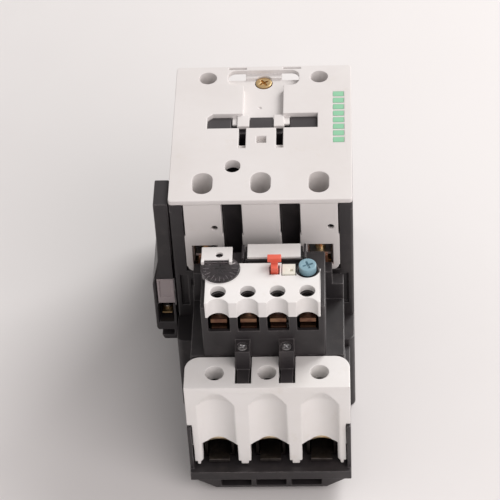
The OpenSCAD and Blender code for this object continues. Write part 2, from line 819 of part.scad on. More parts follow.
// Room for the side block's slide
module side_cavity() {
    block([side_flare + wall, side_x - wall], [slide_y[0] - 1, slide_y[1] + 1], [44, 64]);
    block([side_out + wall - 0.4, side_x - wall], [slide_y[0] - 1, slide_y[1] + 1], [43, 71]);
}

bay_y = side_near + 14;
// Bay for the side block's two wire terminals, behind the pale cover
module side_terminal_bay() {
    block([side_flare + wall, side_x - wall], [side_near - 1, bay_y], [44, 70]);
}

side_cover_x = [side_flare + 2, side_x - 0.6];
side_cover_z = [57, 73.2];
module side_cover() {
    color([0.62, 0.56, 0.57]) difference() {
        block(side_cover_x, [side_near + 0.3, side_near + 3], side_cover_z);
        block(side_cover_x + [1.2, -1.2], [side_near - 1, side_near + 0.9], side_cover_z + [4, -1.2]);
    }
}

// Two brass strips that run from the bay to the slide's contacts
module side_terminals() {
    x = (side_flare + side_x) / 2;
    color(brass) for (z = [46, 60]) difference() {
        union() {
            block([x - 2.4, x + 2.4], [side_near + 4, slide_y[0] + 5], [z, z + 1]);
            block([x - 1.5, x + 1.5], [slide_y[0] + 2, slide_y[0] + 5], [z + 1, z + 1.6]);
        }
        translate([x, side_near + 9, z - 1]) cylinder(r = 1.2, h = 3);
    }
}

module side_screws() {
    x = (side_flare + side_x) / 2;
    color(steel) for (z = [46, 60]) translate([x, side_near + 9, z + 1 + 1.6])
        cross_screw(2.2, 1.6, 1.2, 1);
}

// Slide with two windows, moved by the contactor's carrier
module side_slide() {
    x = [side_x - wall - gap - 3.2, side_x - wall - gap];
    color(white) difference() {
        union() {
            block(x, [slide_y[0] + 8.5, slide_y[1]], [50.5, drive_pin_z + 3]);
            translate([x[0] + 1, drive_pin_y, drive_pin_z]) rotate([0, 90, 0])
                cylinder(r = drive_pin_r, h = -core_w / 2 - 1.4 - x[0] - 1);
        }
    }
}

module side_bridges() {
    x = side_x - wall - gap - 3.2;
    color(copper) for (z = [53.4, 58.9]) block([x - 2.2, x], [slide_y[0] + 1, slide_y[1] - 2], [z, z + 0.8]);
}

module relay_base() {
    shoulder_x = [relay_x - shoulder_w / 2, relay_x + shoulder_w / 2];
    color(black) difference() {
        union() {
            block([relay_l, relay_r], [-relay_end, relay_back_y], [shelf_z - lip_h, shelf_z]);
            block([relay_l, relay_r], [casing_y[0], relay_back_y], [shelf_z - eps, tray_top]);
            for (x = [relay_l, relay_r - tray_wall])
                block([x, x + tray_wall], [-relay_end + 2.6, casing_y[0] + 1], [shelf_z - eps, tray_top]);
            for (x = leg_x)
                block([x - 2, x + 2], [-power_front + 7, casing_y[0] + 1], [shelf_z - eps, barrel_z - 1]);
            block(shoulder_x, [casing_y[0], relay_back_y], [tray_top - eps, power_z]);
            block(shoulder_x, [casing_y[0], relay_mid_y], [base_d + 1, power_z]);
            block(shoulder_x, [casing_y[1] + gap, relay_mid_y], [power_z - eps, shoulder_top]);
            at_poles() block([-hood_w / 2, hood_w / 2], [casing_y[1] + gap, relay_mid_y],
                             [shoulder_top - eps, hood_top]);
            lower_frame();
        }
        relay_chambers();
        at_power() block([-bar_w / 2 - gap, bar_w / 2 + gap], [-step_y - 1, -step_y + 8],
                         power_bar_z + [-gap, gap]);
        tab_passages();
        trip_bar_slot();
    }
}

tray_wall = 1.8;
// Frame below the shelf, with slanting ends and three pockets
module lower_frame() {
    z0 = 3.2;
    top = relay_w / 2 - 2;
    low = relay_w / 2 - 11.8;
    pocket = (2 * low - 4 * 2.4) / 3;
    len = relay_end - 0.6 + relay_back_y;
    translate([relay_x, relay_back_y, 0]) difference() {
        rotate([90, 0, 0]) linear_extrude(len)
            polygon([[-low, z0], [low, z0], [top, shelf_z - lip_h + eps], [-top, shelf_z - lip_h + eps]]);
        for (i = poles) translate([i * (pocket + 2.4), -len - 1, 0])
            block([-pocket / 2, pocket / 2], [0, len - 6], [z0 + 1.3, shelf_z - lip_h - 0.8]);
    }
}

module at_power() {
    for (i = poles) translate([relay_x + i * power_pitch, 0, 0]) children();
}

// Chambers that hold the heaters, deeper below the relay's own part of the panel
module relay_chambers() {
    at_power() {
        block([-chamber_in, chamber_in], [-step_y + 7, relay_back_y - 2.5], [power_bar_z[0], power_z - 3]);
        block([-chamber_in, chamber_in], [relay_back_y - 3, relay_mid_y - 2], [base_d + 4, power_z - 3]);
    }
}

// Passages through the shoulder for the copper tabs
module tab_passages() {
    at_poles() {
        block([-tab_w / 2 - 0.5, tab_w / 2 + 0.5], [tab_leg_y - 0.5, relay_mid_y + 1],
              [tab_z - 0.5, tab_z + tab_t + 0.5]);
        block([-tab_w / 2 - 0.5, tab_w / 2 + 0.5], [tab_leg_y - 0.5, tab_leg_y + tab_t + 0.5],
              [base_d + 4, tab_z + tab_t + 0.5]);
    }
}

// Slot across the chambers in which the trip bar slides
module trip_bar_slot() {
    block([relay_x - power_pitch - 9, relay_x + power_pitch + 9], [trip_y[0] - 0.5, trip_y[1] + 0.5],
          [power_z - 10, power_z - 3.2]);
    block([lever_x - 4, lever_x + 4], [trip_y[0] - 0.5, trip_y[1] + 0.5], [power_z - 4, power_z + 1]);
}

lip_h = 5.5;
chamber_in = 9.4;
tab_leg_y = casing_y[1] + 1;
boss_foot_z = 58;
casing_screw_r = 1.4;
casing_screw_y = -step_y - 3.9;
trip_y = [-step_y + 12, -step_y + 18];
leg_w = 6;
leg_x = [relay_x - power_pitch / 2, relay_x + power_pitch / 2];

module at_casing_screws() {
    for (x = boss_x) translate([x - relay_x, casing_screw_y, 0]) children();
}

cover_inner_y = casing_y[0] + 4.3;
module relay_casing() {
    cx = [control_x - casing_w / 2, control_x + casing_w / 2];
    color(black) difference() {
        union() {
            difference() {
                round_block(cx, casing_y, [power_z, deck_z], 1);
                block(cx + [2, -2], casing_y + [2, -2], [power_z - 1, deck_z - 2]);
                block(cx + [2 - gap, -2 + gap], [casing_y[0] - 1, cover_inner_y], [entry_z[1], deck_z + 1]);
                for (i = [0:3]) translate([control_hole_x(i), 0, 0])
                    block([-4.9, 4.9], [casing_y[0] - 1, casing_y[0] + 3], [entry_z[0], entry_z[1] + 1]);
            }
            label_seat();
            reset_collar();
            brackets(cx);
            bosses();
        }
        deck_holes();
        for (x = boss_x) translate([x, casing_screw_y, boss_foot_z - 8])
            cylinder(r = casing_screw_r + 0.15, h = 40);
        for (x = boss_x) translate([x, casing_screw_y, boss_top - 1.2]) cylinder(r = 2.5, h = 4);
    }
}

function control_hole_x(i) = control_x + (i - 1.5) * control_pitch;

// Raised seats of the label strip and of the dial's plate
module label_seat() {
    block(label_x + [-1, 1], label_y + [-0.5, -0.2], [deck_z - eps, control_z - 1]);
    for (x = [label_x[0] - 2.6, label_x[1] + 1.4])
        block([x, x + 1.2], label_y + [-0.6, -0.2], [deck_z - eps, control_z + 0.4]);
    block(plate_x + [0.8, -3], [plate_y[1] - 2.6, plate_y[1] - 0.4], [deck_z - eps, control_z + 0.2]);
}

module reset_collar() {
    translate([reset_c[0], reset_c[1], deck_z - eps]) difference() {
        cylinder(r = reset_r + 1.4, h = 2.4);
        translate([0, 0, -1]) cylinder(r = reset_r + gap + 0.1, h = 5);
    }
}

label_x = [control_x - 7.4, control_x + 17.1];
label_y = [-step_y + 29, -step_y + 37.6];
plate_x = [control_x - 28.4, control_x - 14.2];
plate_y = [-step_y + 26.1, -step_y + 34.6];
plate_hole_r = 1.7;
cover_far_y = -step_y + 25.5;
stop_slot = [[-2.3, 2.3], [-3, 2.9]];
test_x = [control_x + 8.8, control_x + 14.8];
test_y = [-step_y + 17.6, -step_y + 24];

// Holes in the deck for the dial's shaft, the buttons and the screwdriver
module deck_holes() {
    z = [deck_z - 3, deck_z + 0.5];
    translate([dial_c[0], dial_c[1], z[0]]) cylinder(r = dial_shaft_r + run_gap, h = 4);
    translate([reset_c[0], reset_c[1], z[0]]) cylinder(r = stem_r + run_gap, h = 4);
    translate([stop_c[0], stop_c[1], 0]) block(stop_slot[0], stop_slot[1], z);
    for (i = [0:3]) translate([control_hole_x(i), control_hole_y, z[0]]) cylinder(r = 2.8, h = 4);
}

dial_shaft_r = 2.5;
stem_r = 2;
shelf_mid = 80;
// Brackets inside the casing, under the two buttons and behind the trip lever
module brackets(cx) {
    block([reset_c[0] - 4, cx[1] - 1], [reset_c[1] - 4, reset_c[1] + 4], [shelf_mid, shelf_mid + 3.5]);
    block([stop_c[0] - 3, stop_c[0] + 3], [stop_c[1] - 2, casing_y[1] - 1], [shelf_mid, shelf_mid + 3.5]);
    block([lever_x - 2, lever_x + 2], [trip_y[1] + 1.2, casing_y[1] - 1], [lever_z - 3, lever_z + 3]);
    translate([lever_x, trip_y[1] + 1.3, lever_z]) rotate([90, 0, 0]) cylinder(r = 1, h = 7);
}

boss_top = power_z + 11;
// Two screw bosses on the casing's front wall, that stand in the power cover's notches
module bosses() {
    for (x = boss_x) {
        block([x - boss_w / 2, x + boss_w / 2], [-step_y - 7.4, casing_y[0] + 0.5], [power_z, boss_top]);
        block([x - boss_w / 2, x + boss_w / 2], [-step_y - 7.4, -step_y + 0.2],
              [boss_foot_z + 6, power_z + eps]);
        block([x - boss_w / 2 + 0.5, x + boss_w / 2 - 0.5], [-step_y - 16, -step_y - 7.3],
              [boss_foot_z + 6, power_z - 0.6]);
    }
}

module casing_screws() {
    color(steel) for (x = boss_x) translate([x, casing_screw_y, boss_top - 0.2])
        cross_screw(2.3, 1, casing_screw_r, boss_top - boss_foot_z + 4);
}

entry_w = 13.6;
arch_r = 9;
groove_power_r = 11.6;
groove_power_d = 3.9;
power_hole_r = 4.2;
// White cover of the power terminals, with a finger groove above each cable opening
module power_cover() {
    color(white) difference() {
        union() {
            difference() {
                cover_shell();
                cover_inside();
            }
            for (x = leg_x) cover_leg(x, leg_w);
            at_power() translate([0, power_y, power_z - 9]) cylinder(r = power_hole_r + sleeve_t, h = 8);
            for (s = [-1, 1]) cover_leg(relay_x + s * (relay_w / 2 - 4.3), 4);
        }
        at_power() {
            translate([0, power_y, power_z - 10]) cylinder(r = power_hole_r, h = 12);
            groove_power();
            cable_arch();
        }
        for (x = boss_x) block([x - boss_w / 2 - gap, x + boss_w / 2 + gap], [-step_y - 16.4, -step_y + 5],
                               [boss_foot_z + 5, power_z + 1]);
    }
}

module cover_shell() {
    cover_slab(0, [tray_top + gap, power_z]);
    cover_slab(tray_wall + gap, [barrel_z, tray_top + gap + eps]);
}

// Outline of the cover with its two corners beside the casing rounded
module cover_slab(inset, z) {
    r = 7;
    x = [relay_l + inset, relay_r - inset];
    translate([0, 0, z[0]]) linear_extrude(z[1] - z[0]) union() {
        translate([x[0] + r, -power_front]) square([x[1] - x[0] - 2 * r, power_front - step_y]);
        translate([x[0], -power_front]) square([x[1] - x[0], power_front - step_y - r]);
        for (cx = [x[0] + r, x[1] - r]) translate([cx, -step_y - r]) circle(r);
    }
}

// Hollow of the cover, open at the back and towards the contactor
module cover_inside() {
    t = 5.6;
    difference() {
        block([relay_l + 4, relay_r - 4], [-power_front + t, -step_y + 1], [barrel_z - 30, power_z - 2.4]);
        for (x = leg_x) block([x - leg_w / 2, x + leg_w / 2], [-power_front, -power_front + t + 1],
                              [barrel_z - 30, power_z]);
    }
}

module cover_leg(x, w) {
    block([x - w / 2, x + w / 2], [-power_front, -power_front + 5.6], [shelf_z + 3.4, barrel_z + 1]);
    block([x - w / 2 + 1.2, x + w / 2 - 1.2], [-power_front, -power_front + 5.6],
          [shelf_z + 1.4, shelf_z + 3.5]);
}

// The finger groove narrows to a soft end just below the cover's top edge
module groove_power() {
    top = power_z - 3.2;
    translate([0, -power_front - groove_power_r + groove_power_d, 0]) {
        translate([0, 0, shelf_z]) cylinder(r = groove_power_r, h = top - 9 - shelf_z);
        translate([0, 0, top - 9 - eps])
            cylinder(r1 = groove_power_r, r2 = groove_power_r - groove_power_d, h = 9);
    }
}

module cable_arch() {
    y = [-power_front - 3, -power_front + 6.6];
    intersection() {
        block([-entry_w / 2, entry_w / 2], y, [shelf_z, barrel_z + 5]);
        translate([0, y[0], barrel_z + 1.5 - arch_r]) rotate([-90, 0, 0]) cylinder(r = arch_r, h = 12);
    }
    block([-entry_w / 2, entry_w / 2], y, [shelf_z, barrel_z - 3]);
}

groove_control_r = 5.4;
groove_control_d = 3;
control_hole_r = 3.6;
// White cover of the control terminals, with four finger grooves
module control_cover() {
    cx = [control_x - control_w / 2, control_x + control_w / 2];
    color(white) difference() {
        union() {
            block(cx, [-step_y, cover_far_y], [deck_z, control_z]);
            block(cx, [-step_y, cover_inner_y - gap], [entry_z[1], deck_z + eps]);
        }
        for (i = [0:3]) translate([control_hole_x(i), 0, 0]) {
            translate([0, control_hole_y, deck_z - 1]) cylinder(r = control_hole_r, h = 6);
            translate([0, -step_y - groove_control_r + groove_control_d, entry_z[1] - 1])
                cylinder(r = groove_control_r, h = 20);
        }
        translate([dial_c[0], dial_c[1], deck_z - 1]) cylinder(r = dial_r + gap, h = 8);
        translate([reset_c[0], reset_c[1], deck_z - 1]) cylinder(r = reset_r + 1.4 + gap, h = 8);
        block([test_x[0] - gap, cx[1] + 1], [reset_c[1], cover_far_y + 1], [deck_z - 1, control_z + 1]);
        translate([stop_c[0], stop_c[1], 0]) block(stop_slot[0], stop_slot[1], [deck_z - 1, control_z + 1]);
        block(test_x + [-gap, gap], [test_y[0] - gap, cover_far_y + 1], [deck_z - 1, control_z + 1]);
    }
}

// Copper tabs from the contactor's lower terminals down into the relay
module relay_tabs() {
    color(copper) at_poles() {
        block([-tab_w / 2, tab_w / 2], [tab_leg_y, -clamp_y[0] - 1], [tab_z, tab_z + tab_t]);
        block([-tab_w / 2, tab_w / 2], [tab_leg_y, tab_leg_y + tab_t], [base_d + 8, tab_z + eps]);
    }
}

bimetal_z = [power_bar_z[0] + 3.5, power_z - 8.4];
bimetal_x = -2;
module heater_bimetals() {
    color(steel) at_power() {
        block([bimetal_x - 0.5, bimetal_x + 0.5], [trip_y[0] + 0.5, trip_y[1] - 0.5], bimetal_z);
        block([bimetal_x - 3, bimetal_x + 3], [trip_y[0] - 1, trip_y[1] + 1],
              [power_bar_z[0], bimetal_z[0]]);
    }
}

// Heater ribbon wound round each strip, as separate turns
module heater_windings() {
    color(copper) at_power() for (i = [0:6]) difference() {
        z = bimetal_z[0] + 2 + i * 3.4;
        round_block([bimetal_x - 2.4, bimetal_x + 2.4], [trip_y[0] - 1.4, trip_y[1] + 1.4],
                    [z, z + 2.2], 1.6);
        block([bimetal_x - 1.4, bimetal_x + 1.4], [trip_y[0] - 0.4, trip_y[1] + 0.4], [z - 1, z + 3]);
    }
}

// Brass bars that carry the current from each chamber to the cable clamp
module power_terminals() {
    color(brass) at_power() block([-bar_w / 2, bar_w / 2], [-relay_end + 5, -step_y + 11], power_bar_z);
}

power_cage_z = [power_bar_z[0] - 1.6, barrel_z + 4];
// Cages of the power terminals and the bowed plates under their screws
module power_clamps() {
    y = [power_y - 3.4, power_y + 5.5];
    color(brass) at_power() {
        difference() {
            block([-7, 7], y, power_cage_z);
            block([-5.6, 5.6], [y[0] - 1, y[1] + 1], power_cage_z + [1.4, -1.6]);
            translate([0, power_y, power_cage_z[1] - 3]) cylinder(r = clamp_screw_r, h = 5);
        }
        difference() {
            block([-5.3, 5.3], y + [0.4, -0.4], [power_plate_z, power_plate_z + 3]);
            translate([0, power_y - 8, power_plate_z - 9.2]) rotate([-90, 0, 0]) cylinder(r = 10.6, h = 16);
        }
    }
}

power_plate_z = barrel_z - 4.5;
module power_screws() {
    color(brass) at_power() translate([0, power_y, power_cage_z[1] + 9])
        cross_screw(3.7, 3, clamp_screw_r, power_cage_z[1] + 6 - power_plate_z - 3);
}

control_bar_z = entry_z[0] - 0.5;
control_clamp_z = control_bar_z + 5.4;
module control_terminals() {
    color(brass) for (i = [0:3]) translate([control_hole_x(i), 0, 0])
        block([-3.6, 3.6], [casing_y[0] + 2.2, control_hole_y + 4], [control_bar_z, control_bar_z + 1.2]);
}

// Saddle plates that press the wires on the bars
module control_clamps() {
    z = control_clamp_z;
    color(brass) for (i = [0:3]) translate([control_hole_x(i), 0, 0]) difference() {
        union() {
            block([-3.7, 3.7], [casing_y[0] + 0.9, control_hole_y + 3.4], [z, z + 1.2]);
            block([-3.7, 3.7], [casing_y[0] + 0.9, casing_y[0] + 1.9], [z, z + 2.2]);
        }
        translate([0, control_hole_y, z - 1]) cylinder(r = 1.6, h = 4);
    }
}

module control_screws() {
    color(steel) for (i = [0:3]) translate([control_hole_x(i), control_hole_y, control_clamp_z + 1.2 + 2.2])
        cross_screw(2.5, 2.2, 1.6, 1.2);
}

module label_strip() {
    color(white) block(label_x, label_y, [control_z - 1, control_z + 0.2]);
}

// Plate over the dial's rim, with the two lugs of the window's hinge
module dial_plate() {
    color(white) difference() {
        union() {
            block(plate_x, plate_y, [control_z + 0.2, control_z + 1.6]);
            for (x = [plate_x[0], plate_x[1] - 1.4]) hinge_lug(x);
        }
        translate([dial_c[0] - 0.6, plate_y[0] + 3.4, control_z]) cylinder(r = plate_hole_r, h = 3);
        hinge_bore();
    }
}

hinge_y = plate_y[0] - 1.1;
hinge_z = control_z + 1.5;
hinge_r = 0.6;
module hinge_lug(x) {
    block([x, x + 1.4], [hinge_y - 1, plate_y[0] + 0.1], [control_z + 0.5, hinge_z + 1]);
}

module hinge_bore() {
    translate([plate_x[0] - 1, hinge_y, hinge_z]) rotate([0, 90, 0]) cylinder(r = hinge_r + run_gap, h = 20);
}

module dial() {
    color([0.22, 0.21, 0.22]) translate([dial_c[0], dial_c[1], 0]) {
        difference() {
            union() {
                translate([0, 0, deck_z + 0.4]) cylinder(r = dial_r, h = control_z - deck_z - 0.6);
                translate([0, 0, deck_z - 8]) cylinder(r = dial_shaft_r, h = 9);
            }
            for (a = [0, 90]) rotate([0, 0, a])
                block([-2.6, 2.6], [-0.5, 0.5], [control_z - 1.5, control_z + 1]);
            for (i = [0:11]) rotate([0, 0, i * 30 + 15])
                block([dial_r - 2.6, dial_r - 0.8], [-0.2, 0.2], [control_z - 0.6, control_z + 1]);
        }
    }
}

// Smoky clear flap over the free part of the dial
module dial_window() {
    z = [control_z + 0.2, control_z + 1.2];
    color([0.30, 0.29, 0.30, 0.5]) union() {
        intersection() {
            translate([dial_c[0], dial_c[1], z[0]]) cylinder(r = dial_r + 0.2, h = z[1] - z[0]);
            block([dial_c[0] - 12, dial_c[0] + 12], [dial_c[1] - 18, hinge_y - 1.9], z);
        }
        block([plate_x[0] + 2, plate_x[1] - 2], [hinge_y - 2, hinge_y], [z[0] + 0.3, z[1]]);
        translate([plate_x[0] + 0.2, hinge_y, hinge_z]) rotate([0, 90, 0])
            cylinder(r = hinge_r, h = plate_x[1] - plate_x[0] - 0.4);
    }
}

stop_red = [0.86, 0.28, 0.22];
module stop_button() {
    color(stop_red) translate([stop_c[0], stop_c[1], 0]) {
        block([-3.2, 3.2], [1.8, 4.8], [control_z + 2.8, control_z + 5.2]);
        block([-1.6, 1.6], [-2.2, 2.4], [control_z - 0.4, control_z + 2.9]);
        block([-1.5, 1.5], [-2, 1], [stop_foot, control_z]);
    }
}

stop_foot = shelf_mid + 12;
module stop_spring() {
    color(steel) translate([stop_c[0], stop_c[1] - 0.5, shelf_mid + 3.5])
        coil_spring(1.1, 0.25, stop_foot - shelf_mid - 3.5, 7);
}

module reset_stem() {
    color(black) translate([reset_c[0], reset_c[1], 0]) {
        translate([0, 0, stop_foot]) cylinder(r = stem_r, h = deck_z - stop_foot + 0.2);
        translate([0, 0, deck_z]) cylinder(r = 1.2, h = 3.4);
        translate([0, 0, stop_foot - 0.8]) cylinder(r = 3, h = 1);
    }
}

// Blue knob that turns on its stem and is pressed with it
module reset_button() {
    z = [deck_z + 2.3, control_z + 2.6];
    color([0.45, 0.70, 0.78]) translate([reset_c[0], reset_c[1], 0]) difference() {
        translate([0, 0, z[0]]) cylinder(r = reset_r, h = z[1] - z[0]);
        translate([0, 0, z[0] - 1]) cylinder(r = 1.2 + run_gap, h = deck_z + 3.7 - z[0] + 1);
        for (a = [0, 90]) rotate([0, 0, a + 20]) block([-2.4, 2.4], [-0.5, 0.5], [z[1] - 1.2, z[1] + 1]);
    }
}

module reset_spring() {
    color(steel) translate([reset_c[0], reset_c[1], shelf_mid + 3.5])
        coil_spring(2, 0.3, stop_foot - 0.8 - shelf_mid - 3.5, 6);
}

trip_z = [power_z - 8, power_z - 4];
// Slides when a heated strip bends against one of its teeth
module trip_bar() {
    color(white) difference() {
        union() {
            block([relay_x - power_pitch - 3, relay_x + power_pitch + 5], [trip_y[0], trip_y[1]], trip_z);
            at_power() block([bimetal_x + 0.9, bimetal_x + 2.9], [trip_y[0], trip_y[1]],
                             [trip_z[0] - 3, trip_z[0] + 1]);
        }
        block([lever_x - 1.7, lever_x + 1.7], [trip_y[0] - 1, trip_y[1] + 1], [trip_z[0] + 1, trip_z[1] + 1]);
    }
}

lever_x = control_x + 11;
lever_z = trip_z[0] + 18;
// Lever that turns on a pin of the casing; its foot stands in the trip bar's notch
module trip_lever() {
    y = [trip_y[0] + 0.4, trip_y[1] - 0.4];
    color(white) difference() {
        union() {
            block([lever_x - 1, lever_x + 1], y, [trip_z[0] + 1.5, lever_z + 10]);
            translate([lever_x, y[1], lever_z]) rotate([90, 0, 0]) cylinder(r = 2.6, h = y[1] - y[0]);
        }
        translate([lever_x, y[1] + 1, lever_z]) rotate([90, 0, 0]) cylinder(r = 1 + run_gap, h = 10);
    }
}

module trip_contact() {
    color(copper) block([lever_x - 1.5, lever_x - 1], [trip_y[0] + 0.6, trip_y[1] - 0.6],
                        [lever_z + 4, lever_z + 14]);
}

// Pale test slide in the control cover
module test_slide() {
    color([0.93, 0.92, 0.84]) difference() {
        block(test_x, test_y, [deck_z + 0.2, control_z + 0.6]);
        translate([test_x[1] - 1.8, test_y[0] + 2.4, control_z - 0.6]) cylinder(r = 0.8, h = 3);
    }
}

base_housing();
contact_housing();
front_cover();
marker_strip();
line_terminals();
load_terminals();
line_clamps();
load_clamps();
line_screws();
load_screws();
arc_plates();
contact_carrier();
moving_contacts();
contact_springs();
armature();
armature_pin();
fixed_core();
shading_rings();
core_pad();
coil_bobbin();
coil_winding();
coil_terminals();
coil_screws();
return_springs();
rail_clip();
rail_spring();
housing_screws();
side_housing();
side_cover();
side_terminals();
side_screws();
side_slide();
side_bridges();
relay_base();
relay_casing();
power_cover();
control_cover();
relay_tabs();
heater_bimetals();
heater_windings();
power_terminals();
power_clamps();
power_screws();
control_terminals();
control_clamps();
control_screws();
casing_screws();
label_strip();
dial_plate();
dial();
dial_window();
stop_button();
stop_spring();
reset_stem();
reset_button();
reset_spring();
trip_bar();
trip_lever();
trip_contact();
test_slide();
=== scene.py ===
# Magnetic motor starter: moulded shells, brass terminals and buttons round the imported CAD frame.
import json
import math

import bmesh
import bpy
from mathutils import Matrix, Vector
from mathutils.bvhtree import BVHTree

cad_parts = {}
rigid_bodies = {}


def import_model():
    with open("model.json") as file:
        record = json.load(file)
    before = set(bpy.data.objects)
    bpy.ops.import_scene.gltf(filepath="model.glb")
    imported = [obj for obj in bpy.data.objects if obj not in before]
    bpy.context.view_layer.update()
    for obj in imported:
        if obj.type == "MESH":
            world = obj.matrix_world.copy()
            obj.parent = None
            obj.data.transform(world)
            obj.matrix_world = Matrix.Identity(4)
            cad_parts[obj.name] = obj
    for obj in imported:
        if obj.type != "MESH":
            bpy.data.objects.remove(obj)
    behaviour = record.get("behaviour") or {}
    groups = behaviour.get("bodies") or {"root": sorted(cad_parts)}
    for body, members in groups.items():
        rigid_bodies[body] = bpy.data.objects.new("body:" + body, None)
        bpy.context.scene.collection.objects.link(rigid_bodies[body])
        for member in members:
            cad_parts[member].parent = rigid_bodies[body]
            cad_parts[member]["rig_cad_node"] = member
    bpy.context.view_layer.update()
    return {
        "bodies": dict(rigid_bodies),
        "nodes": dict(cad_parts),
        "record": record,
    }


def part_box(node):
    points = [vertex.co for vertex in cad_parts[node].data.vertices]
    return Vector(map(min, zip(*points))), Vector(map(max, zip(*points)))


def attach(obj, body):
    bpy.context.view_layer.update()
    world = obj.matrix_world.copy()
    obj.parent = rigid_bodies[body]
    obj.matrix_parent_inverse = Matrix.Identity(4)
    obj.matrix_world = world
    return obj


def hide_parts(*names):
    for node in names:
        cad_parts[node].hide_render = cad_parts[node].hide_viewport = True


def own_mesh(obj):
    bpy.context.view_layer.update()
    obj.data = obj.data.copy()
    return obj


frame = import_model()
scene = bpy.context.scene
cadNodes = frame["nodes"]
bodyOf = {piece["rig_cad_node"]: body for body, empty in frame["bodies"].items()
          for piece in cadNodes.values() if piece.parent == empty}
slotOf = {row["node"]: row["material_slot"] for row in frame["record"]["subparts"]}
print("frame loaded:", len(cadNodes), "nodes")


# a new material with its shader, and its object coordinates
def startMaterial(name):
    material = bpy.data.materials.new(name)
    material.use_nodes = True
    tree = material.node_tree
    place = tree.nodes.new("ShaderNodeTexCoord")
    return material, tree, tree.nodes["Principled BSDF"], place.outputs["Object"]


def addNoise(tree, where, scale, detail=3.0, roughness=0.5, stretch=None):
    noise = tree.nodes.new("ShaderNodeTexNoise")
    noise.inputs["Scale"].default_value = scale
    noise.inputs["Detail"].default_value = detail
    noise.inputs["Roughness"].default_value = roughness
    if stretch:
        mapping = tree.nodes.new("ShaderNodeMapping")
        mapping.inputs["Scale"].default_value = stretch
        tree.links.new(where, mapping.inputs["Vector"])
        where = mapping.outputs["Vector"]
    tree.links.new(where, noise.inputs["Vector"])
    return noise.outputs["Fac"]


def addRange(tree, value, low, high, toLow=0.0, toHigh=1.0):
    spread = tree.nodes.new("ShaderNodeMapRange")
    spread.inputs["From Min"].default_value = low
    spread.inputs["From Max"].default_value = high
    spread.inputs["To Min"].default_value = toLow
    spread.inputs["To Max"].default_value = toHigh
    tree.links.new(value, spread.inputs["Value"])
    return spread.outputs["Result"]


# mixes two colours, each a fixed colour or the output of another node
def addMix(tree, amount, first, second):
    mix = tree.nodes.new("ShaderNodeMix")
    mix.data_type = "RGBA"
    tree.links.new(amount, mix.inputs["Factor"])
    for socket, colour in ((mix.inputs["A"], first), (mix.inputs["B"], second)):
        if isinstance(colour, tuple):
            socket.default_value = (*colour, 1.0)
        else:
            tree.links.new(colour, socket)
    return mix.outputs["Result"]


edgeMask = dict(samples=4, slack=0.02, reach=0.3)


# how close a point lies to a corner of the mesh, from 0 to 1
def addEdges(tree, radius):
    bevel = tree.nodes.new("ShaderNodeBevel")
    bevel.samples = edgeMask["samples"]
    bevel.inputs["Radius"].default_value = radius
    surface = tree.nodes.new("ShaderNodeNewGeometry")
    dot = tree.nodes.new("ShaderNodeVectorMath")
    dot.operation = "DOT_PRODUCT"
    tree.links.new(bevel.outputs["Normal"], dot.inputs[0])
    tree.links.new(surface.outputs["Normal"], dot.inputs[1])
    return addRange(tree, dot.outputs["Value"], 1.0 - edgeMask["slack"], 1.0 - edgeMask["reach"])


def addBump(tree, height, distance, normal=None):
    bump = tree.nodes.new("ShaderNodeBump")
    bump.inputs["Distance"].default_value = distance
    bump.inputs["Strength"].default_value = 1.0
    tree.links.new(height, bump.inputs["Height"])
    if normal:
        tree.links.new(normal, bump.inputs["Normal"])
    return bump.outputs["Normal"]


# moulded plastic: cloudy colour, a little grime, edges lightened partly as rubbed wear and partly
# as painted sheen, a fine sparked grain
def mouldedPlastic(name, look):
    material, tree, shader, where = startMaterial(name)
    cloud = addNoise(tree, where, look["cloudScale"], 4.0, 0.6)
    cloud = addRange(tree, cloud, *look["cloudSpread"])
    colour = addMix(tree, cloud, look["colour"], look["cloudColour"])
    grime = addRange(tree, addNoise(tree, where, look["grimeScale"], 6.0, 0.7),
                     look["grimeFrom"], look["grimeFrom"] + look["grimeSoft"], 0.0, look["grime"])
    colour = addMix(tree, grime, colour, look["grimeColour"])
    # lighter corners: partly rubbed wear in patches, partly painted sheen along the edges
    edges = addEdges(tree, look["edgeRadius"])
    rubbedAndSheen = tree.nodes.new("ShaderNodeMath")
    rubbedAndSheen.operation = "MULTIPLY"
    patches = addNoise(tree, where, look["rubScale"], 4.0, 0.6)
    patches = addRange(tree, patches, 0.4, 0.6, look["rubLeast"], 1.0)
    tree.links.new(edges, rubbedAndSheen.inputs[0])
    tree.links.new(patches, rubbedAndSheen.inputs[1])
    wearAndSheen = addRange(tree, rubbedAndSheen.outputs["Value"], 0.0, 1.0, 0.0, look["edgeWearSheen"])
    colour = addMix(tree, wearAndSheen, colour, look["edgeWearSheenColour"])
    tree.links.new(colour, shader.inputs["Base Color"])
    gloss = addNoise(tree, where, look["glossScale"], 5.0, 0.65)
    smoother, rougher = (look["rough"] + change for change in look["glossChange"])
    tree.links.new(addRange(tree, gloss, 0.3, 0.7, smoother, rougher), shader.inputs["Roughness"])
    grain = addBump(tree, addNoise(tree, where, look["grainScale"], 2.0), look["grain"])
    waves = addBump(tree, addNoise(tree, where, look["waveScale"], 1.0), look["waves"], grain)
    tree.links.new(waves, shader.inputs["Normal"])
    shader.inputs["IOR"].default_value = look["ior"]
    shader.inputs["Specular IOR Level"].default_value = look["shine"]
    return material


# metal: two tones in patches, fine drawn lines along one direction
def workedMetal(name, look):
    material, tree, shader, where = startMaterial(name)
    patches = addRange(tree, addNoise(tree, where, look["patchScale"], 5.0, 0.6), 0.38, 0.64)
    colour = addMix(tree, patches, look["colour"], look["dullColour"])
    tree.links.new(colour, shader.inputs["Base Color"])
    shader.inputs["Metallic"].default_value = look["metal"]
    lines = addNoise(tree, where, look["lineScale"], 2.0, 0.5, look["stretch"])
    dullRough = look["rough"] + look["dullRough"]
    tree.links.new(addRange(tree, patches, 0.0, 1.0, look["rough"], dullRough),
                   shader.inputs["Roughness"])
    tree.links.new(addBump(tree, lines, look["lines"]), shader.inputs["Normal"])
    return material


